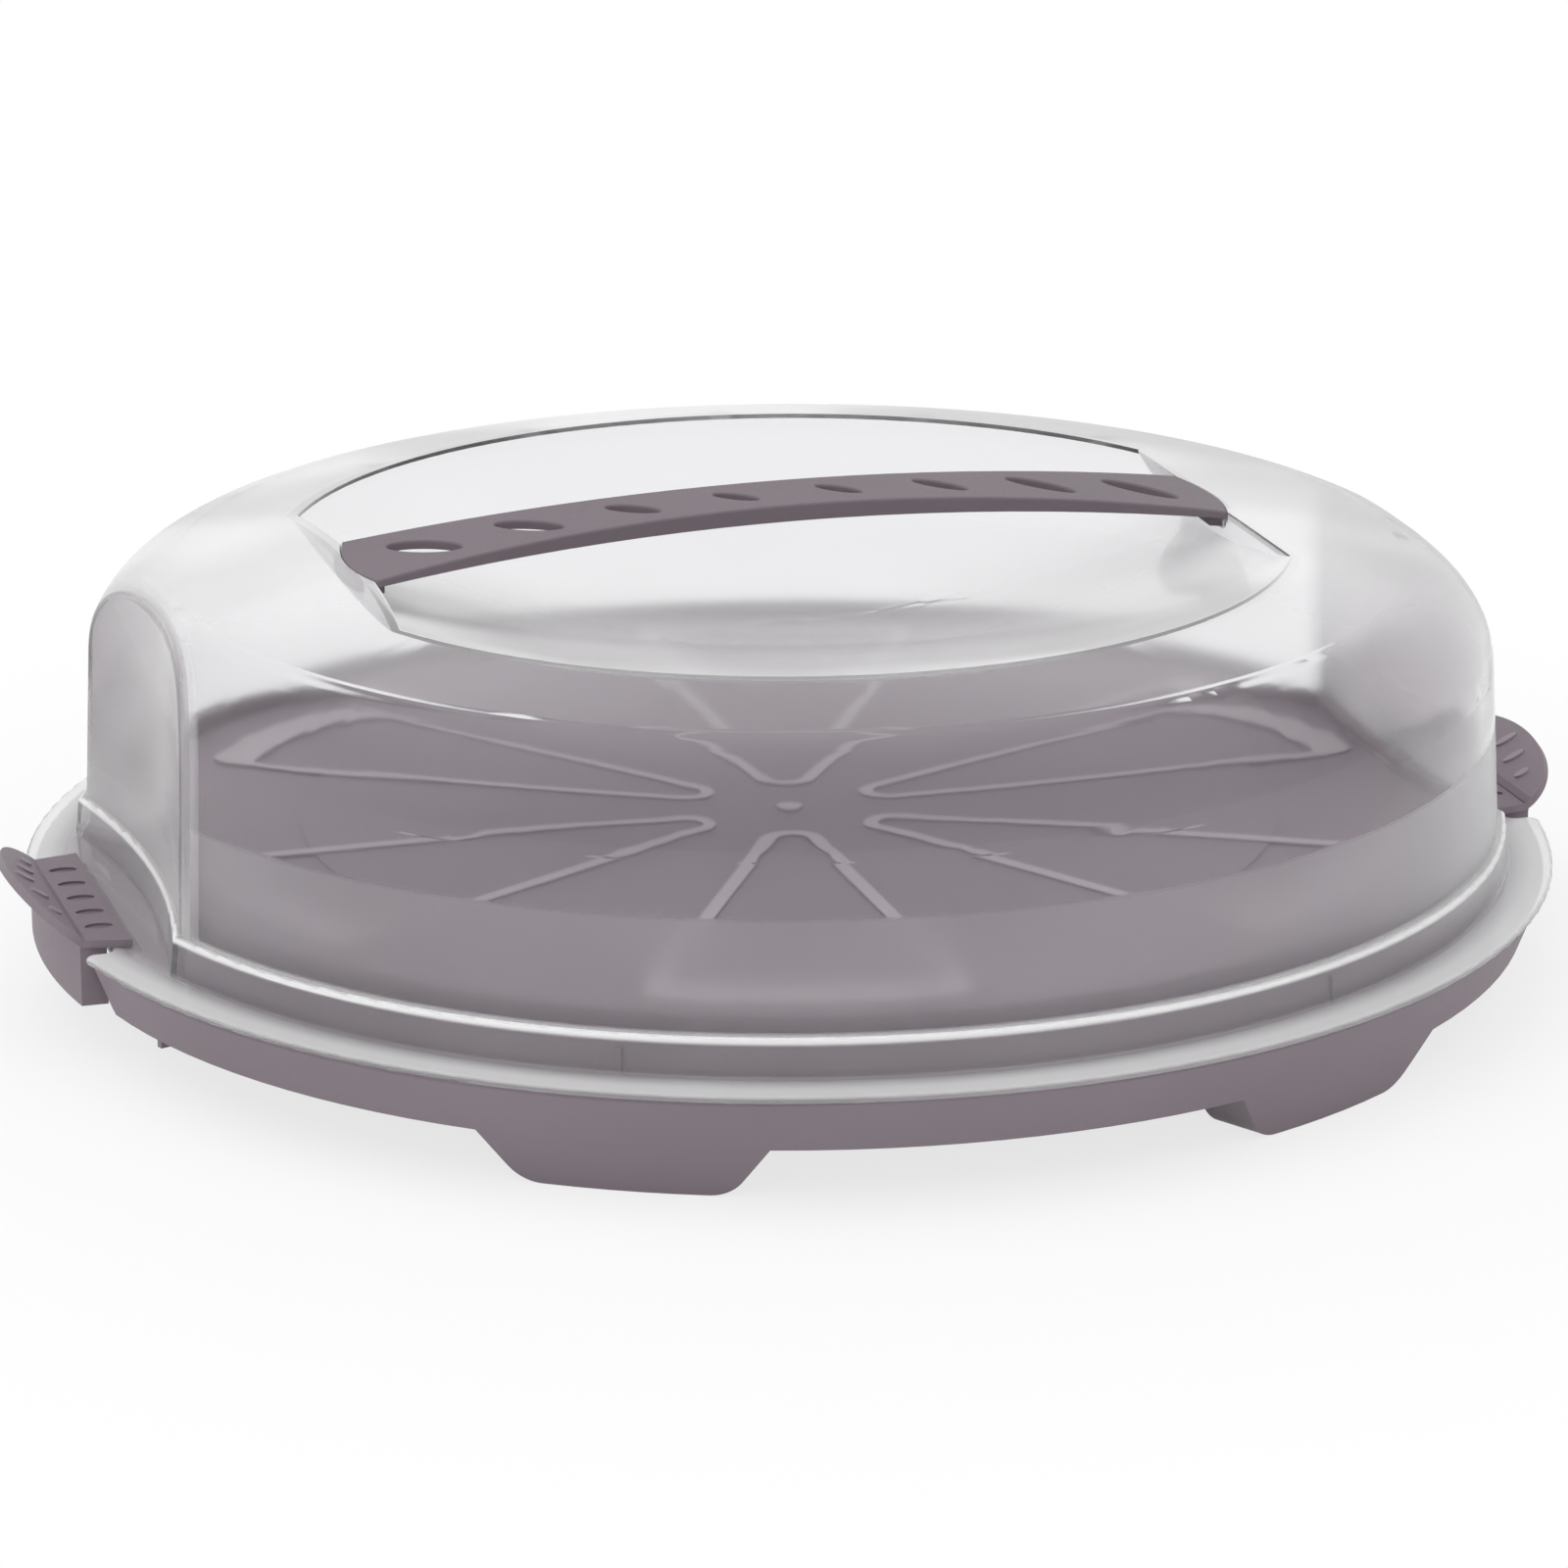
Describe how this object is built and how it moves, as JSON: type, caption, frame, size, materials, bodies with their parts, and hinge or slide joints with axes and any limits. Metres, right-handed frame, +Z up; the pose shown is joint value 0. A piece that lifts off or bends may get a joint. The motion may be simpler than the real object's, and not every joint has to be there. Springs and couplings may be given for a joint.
{
  "type": "cake keeper",
  "caption": "Round cake keeper: footed base plate with a raised floor, clear domed lid with an arched slotted handle in a dished well, and hinged side clips that hook over the rim.",
  "frame": {"origin": "on the ground under the middle of the base plate", "axes": "+X along the carry handle to the right clip, +Z up"},
  "size_m": [0.3594, 0.344, 0.1067],
  "materials": {
    "mauve_polypropylene": "satin",
    "clear_polypropylene": "gloss"
  },
  "bodies": {
    "base": {"base_plate": "mauve_polypropylene"},
    "lid": {"dome": "clear_polypropylene", "carry_handle": "mauve_polypropylene"},
    "left_clip": {"clip_left": "mauve_polypropylene"},
    "right_clip": {"clip_right": "mauve_polypropylene"}
  },
  "joints": [
    {"name": "lid_lift", "type": "slide", "parent": "base", "child": "lid", "axis": [0, 0, 1], "range_m": [0, 0.13]},
    {"name": "left_clip_hinge", "type": "hinge", "parent": "base", "child": "left_clip", "pos_m": [-0.16, 0, 0.0165], "axis": [0, -1, 0], "range_deg": [0, 75]},
    {"name": "right_clip_hinge", "type": "hinge", "parent": "base", "child": "right_clip", "pos_m": [0.16, 0, 0.0165], "axis": [0, 1, 0], "range_deg": [0, 75]}
  ]
}
